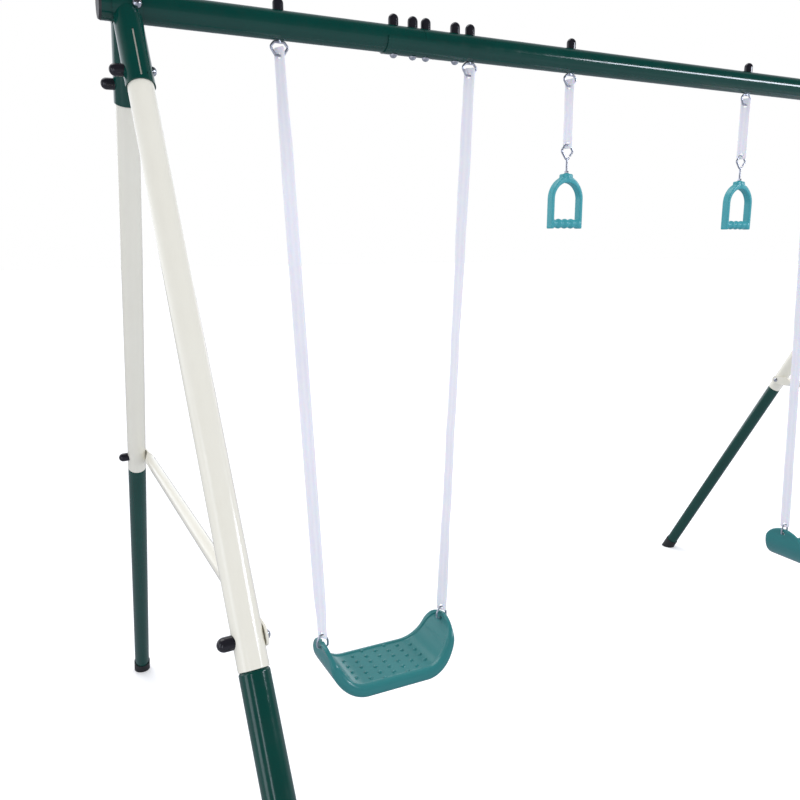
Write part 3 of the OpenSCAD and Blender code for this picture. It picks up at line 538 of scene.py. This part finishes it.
@dataclass
class Strap:
    """A flat vinyl-dipped strap with a punched hole at each end, twisted a little as it hangs."""

    node: str
    body: str
    top: tuple[float, float, float]
    bottom: tuple[float, float, float]
    twist: tuple[tuple[float, float], ...]
    step: float = 5.0
    width: float = 25.0
    thickness: float = 2.6
    corner: float = 5.0
    past_top: float = 15.0
    past_bottom: float = 8.0
    hole: float = 10.0
    wire: float = 5.0
    seat_gap: float = 0.5
    ripple: float = 0.7
    ripple_fade: float = 60.0
    rib: float = 0.14
    cords: int = 3
    end_round: float = 1.3
    edge_power: float = 12.0
    punch_depth: float = 16.0

    def frame_at(self, along: np.ndarray) -> tuple[np.ndarray, np.ndarray, np.ndarray]:
        """Middle, across and outward directions at distances below the top wire.

        The middle follows a straight line with a slow ripple, and the across direction is the
        level direction at the twist's angle, squared up to that line.

        Args:
            along: Distances in millimetres.

        Returns:
            Three arrays of XYZ rows.
        """
        top, bottom = np.array(self.top), np.array(self.bottom)
        length = np.linalg.norm(bottom - top)
        axis = (bottom - top) / length
        angle = np.radians(ease(along / length, self.twist))
        across = np.stack([np.cos(angle), np.sin(angle), np.zeros_like(angle)], -1)
        across -= (across @ axis)[:, None] * axis
        across /= np.linalg.norm(across, axis=1)[:, None]
        outward = np.cross(axis, across)
        fade = smooth(along / self.ripple_fade) * smooth((length - along) / self.ripple_fade)
        wave = np.sin(along / 37.0) + 0.6 * np.sin(along / 17.0 + 1.3)
        return top + along[:, None] * axis + (self.ripple * fade * wave)[:, None] * outward, across, outward

    def build(self) -> bpy.types.Object:
        """Sweeps the section down the strap and punches its holes.

        The section is a slab with round edges and low cords; towards an end it thins to a round
        edge and draws in to round corners.

        Returns:
            The strap.
        """
        length = float(np.linalg.norm(np.subtract(self.bottom, self.top)))
        whole = length + self.past_top + self.past_bottom
        near = np.array([0.0, 0.12, 0.35, 0.7, 1.1, 1.6, 2.4, 3.4, 5.0])
        rest = np.linspace(near[-1], whole - near[-1], int(whole / self.step))[1:-1]
        run = np.concatenate([near, rest, whole - near[::-1]])
        end = np.minimum(run, whole - run)
        middle, across, outward = self.frame_at(run - self.past_top)
        c = self.corner
        thin = np.sqrt(1 - (1 - np.minimum(end, self.end_round) / self.end_round) ** 2)
        half = self.width / 2 - c + np.sqrt(c * c - (c - np.minimum(end, c)) ** 2)
        q = np.sin(np.linspace(-math.pi / 2, math.pi / 2, 41))
        slab = self.thickness / 2 * np.sqrt(1 - np.abs(q) ** self.edge_power)
        slab = slab + self.rib * np.cos(q * self.cords * math.pi) * (1 - q ** 4)
        ring_q = np.concatenate([q, q[-2:0:-1]])
        ring_n = np.concatenate([slab, -slab[-2:0:-1]])
        a = half[:, None] * ring_q
        n = thin[:, None] * ring_n
        points = (middle[:, None] + a[..., None] * across[:, None] + n[..., None] * outward[:, None])
        uv = np.stack([a, np.broadcast_to(run[:, None], a.shape)], -1) * MM
        piece = make_piece(self.node + "_webbing", [points], uv)
        tilt = math.radians(abs(self.twist[0][1]))
        slack = (self.hole / 2 - self.thickness / 2 / math.tan(tilt)
                 - self.wire / 2 / math.sin(tilt) - self.seat_gap)
        spots, _, aim = self.frame_at(np.array([slack, length - slack]))
        punch(piece, [rod(spot - self.punch_depth / 2 * way, way, self.punch_depth, self.hole / 2)
                      for spot, way in zip(spots, aim)])
        return piece

    def dress(self, finishes: Finishes) -> bpy.types.Object:
        """Builds the strap, gives it its vinyl and hangs it on its body.

        Args:
            finishes: The set's finishes.

        Returns:
            The dressed strap.
        """
        piece = self.build()
        finishes.put(piece, "white_vinyl")
        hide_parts(self.node)
        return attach(piece, self.body)


@dataclass
class Seat:
    """A hollow moulded seat: a studded pan that bends up into two flaps, in one thick round edge."""

    side: Side
    swing_x: float = SWING_X
    hole_height: float = SEAT_HOLE_HEIGHT
    hole_gap: float = SEAT_HOLE_GAP
    flat: float = 72.0
    bend: float = 72.0
    flap_degrees: float = 75.5
    depth: float = 163.0
    flap_width: float = 121.0
    tip: float = 14.0
    tip_round: float = 42.0
    tip_power: float = 1.8
    crest: float = 4.5
    pan_dip: float = 2.6
    edge: float = 30.0
    flap_edge: float = 23.0
    hole_edge: float = 9.6
    edge_fade: float = 40.0
    edge_width: float = 14.5
    edge_corner: float = 13.4
    cove: float = 5.0
    hole: float = 10.0
    punch_depth: float = 40.0
    tip_crest: float = 0.45
    tip_low: float = 0.9
    tip_edge: float = 0.66
    tip_cove: float = 0.2
    tip_corner: float = 0.4
    corner_share: float = 0.45
    stud_counts: tuple[int, ...] = (4, 5, 6, 5, 6, 5, 4)
    stud_columns: float = 28.0
    stud_pitch: float = 25.0
    stud_radius: float = 5.6
    stud_height: float = 3.6
    stud_profile: tuple[tuple[float, float], ...] = (
        (0.0, 1.0), (0.25, 0.93), (0.5, 0.74), (0.72, 0.46), (0.88, 0.2), (1.0, -0.12), (0.0, -0.2))

    def __post_init__(self) -> None:
        """Works out the lengths along the seat and the height of its pan."""
        self.angle = math.radians(self.flap_degrees)
        self.bend_len = self.bend * self.angle
        run = self.hole_gap / 2 - self.flat - self.bend * math.sin(self.angle)
        flap = run / math.cos(self.angle)
        self.hole_u = self.flat + self.bend_len + flap
        self.end_u = self.hole_u + self.tip
        rise = self.bend * (1 - math.cos(self.angle)) + flap * math.sin(self.angle)
        self.pan_z = self.hole_height - rise

    def place(self, u: np.ndarray, v: np.ndarray, n: np.ndarray) -> np.ndarray:
        """Maps seat coordinates to the set: a flat, an arc and a straight flap along u.

        Args:
            u: Distance along the seat from its middle.
            v: Distance to the rear.
            n: Height square to the seat's middle surface.

        Returns:
            XYZ in millimetres.
        """
        d, s = np.abs(u), np.sign(u)
        a = np.clip((d - self.flat) / self.bend_len, 0, 1) * self.angle
        rest = np.maximum(d - self.flat - self.bend_len, 0)
        x = s * (np.minimum(d, self.flat) + self.bend * np.sin(a) + rest * math.cos(self.angle))
        z = self.bend * (1 - np.cos(a)) + rest * math.sin(self.angle)
        x, v, z = np.broadcast_arrays(x - n * s * np.sin(a), v, z + n * np.cos(a))
        return np.stack([self.side.value * self.swing_x + x, v, self.pan_z + z], -1)

    def half_depth(self, u: np.ndarray) -> np.ndarray:
        """Half the seat's depth: full on the pan, drawn in up the flap, a superellipse at its tip."""
        d = np.abs(u)
        body = self.depth / 2 - (self.depth - self.flap_width) / 2 * smooth(
            (d - self.flat) / (self.hole_u - self.flat))
        t = np.clip((d - self.end_u + self.tip_round) / self.tip_round, 0, 1)
        return body * (1 - t ** self.tip_power) ** (1 / self.tip_power)

    def levels(self, u: np.ndarray) -> tuple[np.ndarray, np.ndarray, np.ndarray, np.ndarray]:
        """Half depth of the seat, and the heights of its crest, its underside and its pan.

        The edge is thick round the pan, a little less so up the flaps, where it is centred on
        the holes, and it is drawn in flat towards each hole. Near a tip, where the seat runs out,
        each height is held to a share of the half depth.

        Args:
            u: Distance along the seat from its middle.

        Returns:
            The four values at each u.
        """
        d, w = np.abs(u), self.half_depth(u)
        pinch = smooth((d - self.hole_u + self.edge_fade) / self.edge_fade)
        lift = smooth((d - self.flat) / self.bend_len)
        edge = self.edge + (self.flap_edge - self.edge) * lift
        thick = edge + (self.hole_edge - edge) * pinch
        body = self.crest + (self.flap_edge / 2 - self.crest) * lift
        crest = body + (self.hole_edge / 2 - body) * pinch
        top = np.minimum(crest, self.tip_crest * w)
        low = np.maximum(crest - thick, -self.tip_low * w)
        return w, top, low, (crest - self.pan_dip) * top / crest

    def shell(self) -> np.ndarray:
        """Sections across the seat, one for each station along it.

        From the middle outwards a section runs along the pan, steps up to the crest, turns a
        rounded corner, falls down the edge, turns a second one and runs back underneath.

        Returns:
            Rings of points, with a pole at each tip.
        """
        inner = np.linspace(-1, 1, 150) * (self.end_u - self.tip_round)
        k = np.linspace(1, 0, 60)[1:] ** 1.8
        u = np.concatenate([-(self.end_u - self.tip_round * k[::-1]), inner,
                            self.end_u - self.tip_round * k])[:, None]
        w, top, low, h = self.levels(u)
        b = np.minimum(self.edge_width, self.tip_edge * w)
        s = np.minimum(self.cove, self.tip_cove * w)
        c = np.minimum(np.minimum(self.edge_corner, self.corner_share * (top - low)), self.tip_corner * w)
        t = {m: np.linspace(0, 1, m)[None] for m in (5, 7, 9, 25)}
        arc = t[9][:, 1:] * math.pi / 2
        v = [t[25] * (w - b - s), w - b - s + s * t[9][:, 1:], w - b + (b - c) * t[7][:, 1:],
             w - c + c * np.sin(arc), w + 0 * t[5][:, 1:], w - c + c * np.cos(arc),
             (w - c) * (1 - t[25][:, 1:])]
        n = [h + 0 * t[25], h + (top - h) * smooth(t[9][:, 1:]), top + 0 * t[7][:, 1:],
             top - c + c * np.cos(arc), top - c + (low - top + 2 * c) * t[5][:, 1:],
             low + c - c * np.sin(arc), low + 0 * t[25][:, 1:]]
        v, n = np.concatenate(v, 1), np.concatenate(n, 1)
        v = np.concatenate([v, -v[:, -2:0:-1]], 1)
        n = np.concatenate([n, n[:, -2:0:-1]], 1)
        return self.place(u, v, n)

    def studs(self) -> list[np.ndarray]:
        """Anti-slip studs in staggered rows: round lenses that stand out of the pan.

        Each is close to a quarter cosine over its radius, its rim and lower pole just inside the pan.

        Returns:
            Rings of points for each stud.
        """
        middle = (len(self.stud_counts) - 1) / 2
        rows = [((i - middle) * self.stud_columns, (j - (count - 1) / 2) * self.stud_pitch)
                for i, count in enumerate(self.stud_counts) for j in range(count)]
        x, y = np.array(rows).T
        past = np.maximum(np.abs(x) - self.flat, 0)
        u0 = np.sign(x) * (np.minimum(np.abs(x), self.flat) + self.bend * np.arcsin(past / self.bend))
        rho, high = np.array(self.stud_profile).T
        high = high * self.stud_height
        turn = np.linspace(0, 2 * math.pi, 20, endpoint=False)
        u = u0[:, None, None] + self.stud_radius * rho[:, None] * np.cos(turn)
        v = y[:, None, None] + self.stud_radius * rho[:, None] * np.sin(turn)
        return list(self.place(u, v, self.levels(u0)[3][:, None, None] + high[:, None]))

    def dress(self, finishes: Finishes) -> bpy.types.Object:
        """Builds the seat, cuts its flap holes and gives it its plastic.

        Args:
            finishes: The set's finishes.

        Returns:
            The dressed seat.
        """
        node = f"{self.side.word}_swing_seat"
        piece = make_piece(node + "_moulding", [self.shell(), *self.studs()])
        mid = self.side.value * self.swing_x
        starts = [mid + e * self.hole_gap / 2 - self.punch_depth / 2 for e in (-1, 1)]
        punch(piece, [rod(np.array([x, 0.0, self.hole_height]), np.array([1.0, 0.0, 0.0]),
                          self.punch_depth, self.hole / 2) for x in starts])
        finishes.put(piece, "seat_teal_plastic")
        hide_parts(node)
        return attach(piece, f"{self.side.word}_seat_body")


@dataclass
class GymHandle:
    """A moulded stirrup handle: a round arch, a shouldered boss and a grip with finger grooves."""

    side: Side
    handle_x: float = HANDLE_X
    top_z: float = HANDLE_TOP
    height: float = 122.0
    half_width: float = 43.0
    half_gap: float = 35.0
    thickness: float = 20.0
    spring: float = -57.2
    outer_radius: float = 51.8
    inner_radius: float = 35.7
    grip_radius: float = 11.0
    groove: float = 2.2
    grooves: int = 4
    arm_split: float = 0.5
    arch_power: float = 5.5
    grip_bury: float = 4.0
    boss: tuple[float, float, float] = (14.5, 9.2, 7.0)
    boss_z: float = -9.0
    boss_power: float = 5.0
    rib: tuple[float, float, float] = (6.0, 11.0, 11.0)
    rib_z: float = -11.0
    rib_power: float = 3.0
    voxel: float = 0.7
    fillet_passes: int = 9
    pocket_reach: float = 40.0
    bore_reach: float = 20.0
    crease_degrees: float = 60.0
    pocket: float = 5.3
    pocket_top: float = -13.0
    bore: float = 2.58

    def arm_curves(self, t: np.ndarray) -> tuple[np.ndarray, np.ndarray]:
        """Outer and inner edges of the right arm: a straight leg, then an arc to the middle.

        Args:
            t: 0 at the foot of the arm, 1 at the middle of the crown.

        Returns:
            Two arrays of X and Z.
        """
        split = self.arm_split
        leg = np.clip(t / split, 0, 1)
        edges = []
        for half, radius in ((self.half_width, self.outer_radius), (self.half_gap, self.inner_radius)):
            sweep = math.acos((radius - half) / radius) * np.clip((t - split) / (1 - split), 0, 1)
            x = half - radius + radius * np.cos(sweep)
            z = -self.height + (self.spring + self.height) * leg + radius * np.sin(sweep)
            edges.append(np.stack([x, z], -1))
        return edges[0], edges[1]

    def arch(self) -> np.ndarray:
        """The arch: superellipse sections between its edges, from one foot over to the other.

        Returns:
            Rings of points, with a pole at each foot.
        """
        t = np.concatenate([np.array([0.0, 0.0, 0.004, 0.012, 0.025]), np.linspace(0.04, 1, 60)])
        swell = np.concatenate([[0.0, 0.86, 0.93, 0.98, 1.0], np.ones(60)])
        outer, inner = self.arm_curves(t)
        mirror = np.array([-1.0, 1.0])
        outer = np.concatenate([outer, outer[-2::-1] * mirror])
        inner = np.concatenate([inner, inner[-2::-1] * mirror])
        swell = np.concatenate([swell, swell[-2::-1]])[:, None]
        phi = np.linspace(0, 2 * math.pi, 64, endpoint=False)
        cx = np.sign(np.cos(phi)) * np.abs(np.cos(phi)) ** (2 / self.arch_power) * swell
        cy = np.sign(np.sin(phi)) * np.abs(np.sin(phi)) ** (2 / self.arch_power) * swell
        middle, reach = (outer + inner) / 2, (outer - inner) / 2
        flat = middle[:, None] + reach[:, None] * cx[..., None]
        return np.stack([flat[..., 0], cy * self.thickness / 2, flat[..., 1]], -1)

    def block(self, centre: tuple[float, float, float], half: tuple[float, float, float],
              power: float) -> np.ndarray:
        """Superellipsoid: a sphere's cosines and sines drawn out to a soft-edged block.

        Args:
            centre: Its middle.
            half: Its half sizes.
            power: 2 for an ellipsoid, larger for a squarer block.

        Returns:
            Rings of points, with a pole at the bottom and top.
        """
        up = np.linspace(-math.pi / 2, math.pi / 2, 33)[:, None]
        phi = np.linspace(0, 2 * math.pi, 64, endpoint=False)[None]
        e = 2 / power
        level = np.abs(np.cos(up)) ** e
        level[[0, -1]] = 0
        x = level * np.sign(np.cos(phi)) * np.abs(np.cos(phi)) ** e
        y = level * np.sign(np.sin(phi)) * np.abs(np.sin(phi)) ** e
        z = np.sign(np.sin(up)) * np.abs(np.sin(up)) ** e + 0 * phi
        return np.array(centre) + np.stack([x, y, z], -1) * np.array(half)

    def grip(self) -> np.ndarray:
        """The grip: circles whose radius waves along its length, one trough for each finger.

        Returns:
            Rings of points, closed inside the arms.
        """
        end = self.half_gap + self.grip_bury
        x = np.linspace(-end, end, 121)
        pitch = 2 * self.half_gap / self.grooves
        radius = self.grip_radius - self.groove / 2 * (1 - np.cos(2 * math.pi * x / pitch))
        radius[[0, -1]] = 0
        phi = np.linspace(0, 2 * math.pi, 48, endpoint=False)
        ring = radius[:, None]
        return np.stack([x[:, None] + 0 * ring * phi, ring * np.cos(phi),
                         self.grip_radius - self.height + ring * np.sin(phi)], -1)

    def dress(self, finishes: Finishes) -> bpy.types.Object:
        """Builds the handle in one moulding, opens its nut pocket and gives it its plastic.

        Args:
            finishes: The set's finishes.

        Returns:
            The dressed handle.
        """
        node = f"{self.side.word}_handle"
        shapes = [self.arch(), self.grip(), self.block((0, 0, self.boss_z), self.boss, self.boss_power),
                  self.block((0, 0, self.rib_z), self.rib, self.rib_power)]
        home = np.array([self.side.value * self.handle_x, 0.0, self.top_z])
        piece = make_piece(node + "_moulding", [shape + home for shape in shapes])
        fuse = piece.modifiers.new("one moulding", "REMESH")
        fuse.mode, fuse.voxel_size, fuse.use_smooth_shade = "VOXEL", self.voxel * MM, True
        melt = piece.modifiers.new("moulded fillets", "SMOOTH")
        melt.factor, melt.iterations = 0.5, self.fillet_passes
        settle(piece)
        up = np.array([0.0, 0.0, 1.0])
        deep = self.pocket_reach
        punch(piece, [rod(home - up * deep, up, deep + self.pocket_top, self.pocket),
                      rod(home + up * (self.pocket_top - 1), up, self.bore_reach, self.bore)],
              self.crease_degrees)
        finishes.put(piece, "handle_teal_plastic")
        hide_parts(node)
        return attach(piece, f"{self.side.word}_handle_grip")


@dataclass
class Studio:
    """White paper, soft lights and a camera where the photograph was taken from."""

    eye: tuple[float, float, float] = (-1.41135, -1.44875, 1.35757)
    yaw: float = 0.4605
    pitch: float = -0.2028
    roll: float = -0.0028
    lens: float = 34.85
    daylight: str = "#edf3ff"
    paper_half: float = 40.0

    def camera(self) -> None:
        """Makes the camera from its place and its yaw, pitch and roll."""
        cy, sy, cp, sp = math.cos(self.yaw), math.sin(self.yaw), math.cos(self.pitch), math.sin(self.pitch)
        ahead = np.array([sy * cp, cy * cp, sp])
        right = np.array([cy, -sy, 0.0])
        up = np.cross(right, ahead)
        c, s = math.cos(self.roll), math.sin(self.roll)
        right, up = c * right + s * up, c * up - s * right
        data = bpy.data.cameras.new("view")
        data.lens, data.sensor_width, data.clip_start, data.clip_end = self.lens, 36.0, 0.02, 200.0
        camera = bpy.data.objects.new("view", data)
        turned = np.eye(4)
        turned[:3, 0], turned[:3, 1], turned[:3, 2], turned[:3, 3] = right, up, -ahead, self.eye
        camera.matrix_world = Matrix(turned.tolist())
        bpy.context.scene.collection.objects.link(camera)
        bpy.context.scene.camera = camera

    def light(self, name: str, place: tuple[float, float, float], aim: tuple[float, float, float],
              size: tuple[float, float], watts: float) -> None:
        """Hangs one softbox.

        Args:
            name: The light's name.
            place: Where it hangs, in metres.
            aim: The point that it faces.
            size: Width and height in metres.
            watts: Its power.
        """
        data = bpy.data.lights.new(name, "AREA")
        data.shape, data.size, data.size_y, data.energy = "RECTANGLE", *size, watts
        data.color = linear(self.daylight)[:3]
        box = bpy.data.objects.new(name, data)
        away = np.subtract(place, aim)
        away = away / np.linalg.norm(away)
        side = np.cross([0.0, 0.0, 1.0], away)
        side = side / np.linalg.norm(side)
        turned = np.eye(4)
        turned[:3, 0], turned[:3, 1], turned[:3, 2], turned[:3, 3] = side, np.cross(away, side), away, place
        box.matrix_world = Matrix(turned.tolist())
        bpy.context.scene.collection.objects.link(box)

    def room(self) -> None:
        """Lays the paper and makes the pale surround."""
        mesh = bpy.data.meshes.new("studio_floor")
        r = self.paper_half
        mesh.from_pydata([(-r, -r, 0), (r, -r, 0), (r, r, 0), (-r, r, 0)], [], [(0, 1, 2, 3)])
        floor = bpy.data.objects.new("studio_floor", mesh)
        floor.data.materials.append(StudioPaper().material())
        bpy.context.scene.collection.objects.link(floor)
        world = bpy.data.worlds.new("pale studio")
        world.use_nodes = True
        tree = world.node_tree
        tree.nodes.clear()
        # What shines in the gloss: pale low walls behind the set, and a dim room in front of it
        ray = add_node(tree, "ShaderNodeLightPath").outputs
        way = add_node(tree, "ShaderNodeSeparateXYZ",
                       {0: add_node(tree, "ShaderNodeTexCoord").outputs["Generated"]})
        rear = add_node(tree, "ShaderNodeMapRange", {"Value": way.outputs["Y"], "From Min": -0.1,
                                                     "From Max": 0.6, "To Min": 0.1, "To Max": 1.0})
        low = add_node(tree, "ShaderNodeMapRange", {"Value": way.outputs["Z"], "From Min": 0.1,
                                                    "From Max": 0.55, "To Min": 1.5, "To Max": 0.5})
        glow = add_node(tree, "ShaderNodeMath", {0: rear.outputs["Result"], 1: low.outputs["Result"]},
                        operation="MULTIPLY")
        soft = add_node(tree, "ShaderNodeBackground", {"Color": linear("#f4f5fa"), "Strength": 0.92})
        dim = add_node(tree, "ShaderNodeBackground", {"Color": linear("#f2f5fb"),
                                                      "Strength": glow.outputs[0]})
        white = add_node(tree, "ShaderNodeBackground", {"Color": (1, 1, 1, 1), "Strength": 1.0})
        walls = add_node(tree, "ShaderNodeMixShader", {0: ray["Is Glossy Ray"], 1: soft.outputs[0],
                                                       2: dim.outputs[0]})
        mixed = add_node(tree, "ShaderNodeMixShader", {0: ray["Is Camera Ray"], 1: walls.outputs[0],
                                                       2: white.outputs[0]})
        add_node(tree, "ShaderNodeOutputWorld", {"Surface": mixed.outputs[0]})
        bpy.context.scene.world = world

    def sky(self, name: str, aim: tuple[float, float, float], strength: float, spread: float) -> None:
        """Adds an even light from far away, so that the paper is lit alike at any distance.

        Args:
            name: The light's name.
            aim: Direction that its light travels in.
            strength: Its irradiance.
            spread: Its angular size in degrees.
        """
        data = bpy.data.lights.new(name, "SUN")
        data.energy, data.angle = strength, math.radians(spread)
        lamp = bpy.data.objects.new(name, data)
        lamp.rotation_mode = "QUATERNION"
        lamp.rotation_quaternion = Vector(aim).to_track_quat("-Z", "Y")
        bpy.context.scene.collection.objects.link(lamp)

    def build(self) -> None:
        """Sets up the whole studio."""
        self.camera()
        self.room()
        self.sky("skylight", (0.25, -0.55, -1.0), 0.8, 40.0)
        self.light("window", (3.1, -2.4, 2.5), (0.0, 0.0, 1.7), (2.4, 0.5), 60.0)
        self.light("strip", (-3.1, -2.8, 0.7), (-1.1, -0.4, 0.7), (0.5, 2.4), 11.0)
        self.light("side box", (-3.4, -0.9, 1.1), (-0.7, 0.0, 0.7), (0.8, 2.0), 8.0)
        bpy.context.scene.view_settings.view_transform = "Standard"
        log.info("studio ready")


def straps() -> list[Strap]:
    """All six straps, from the wires that they hang on to the wires that they hold.

    Returns:
        The four swing straps and the two handle straps.
    """
    outer_twist = ((-0.02, -60.0), (0.02, -60.0), (0.2, -26.0), (0.6, -18.0), (0.9, -24.0),
                   (0.985, -58.0), (1.02, -60.0))
    inner_twist = ((-0.02, -60.0), (0.02, -58.0), (0.12, -50.0), (0.5, -76.0), (0.8, -72.0),
                   (0.97, -52.0), (1.02, -60.0))
    handle_twist = ((-0.2, -76.0), (0.5, -79.0), (1.2, -76.0))
    made = []
    for side in Side:
        sign, word = side.value, side.word
        for place, twist in ((Place.OUTER, outer_twist), (Place.INNER, inner_twist)):
            foot_x = SWING_X + place.value * SEAT_HOLE_GAP / 2
            made.append(Strap(f"{word}_swing_{place.word}_strap", f"{word}_swing_straps",
                              (sign * STRAP_TOP_X[place.name], 0.0, HANGER_HEIGHT),
                              (sign * foot_x, 0.0, LINK_HEIGHT), twist))
        made.append(Strap(f"{word}_handle_strap", f"{word}_handle_sling",
                          (sign * HANDLE_X, 0.0, HANGER_HEIGHT), (sign * HANDLE_X, 0.0, HOOK_HEIGHT),
                          handle_twist, step=2.5, ripple=0.15))
    return made


def main() -> None:
    """Builds the scene in order and reports each piece."""
    logging.basicConfig(level=logging.INFO, format="%(message)s")
    finishes = Finishes()
    Studio().build()
    TubeFrame(finishes).dress()
    for strap in straps():
        log.info("built %s", strap.dress(finishes).name)
    for side in Side:
        log.info("built %s", Seat(side).dress(finishes).name)
        log.info("built %s", GymHandle(side).dress(finishes).name)


if __name__ == "__main__":
    main()
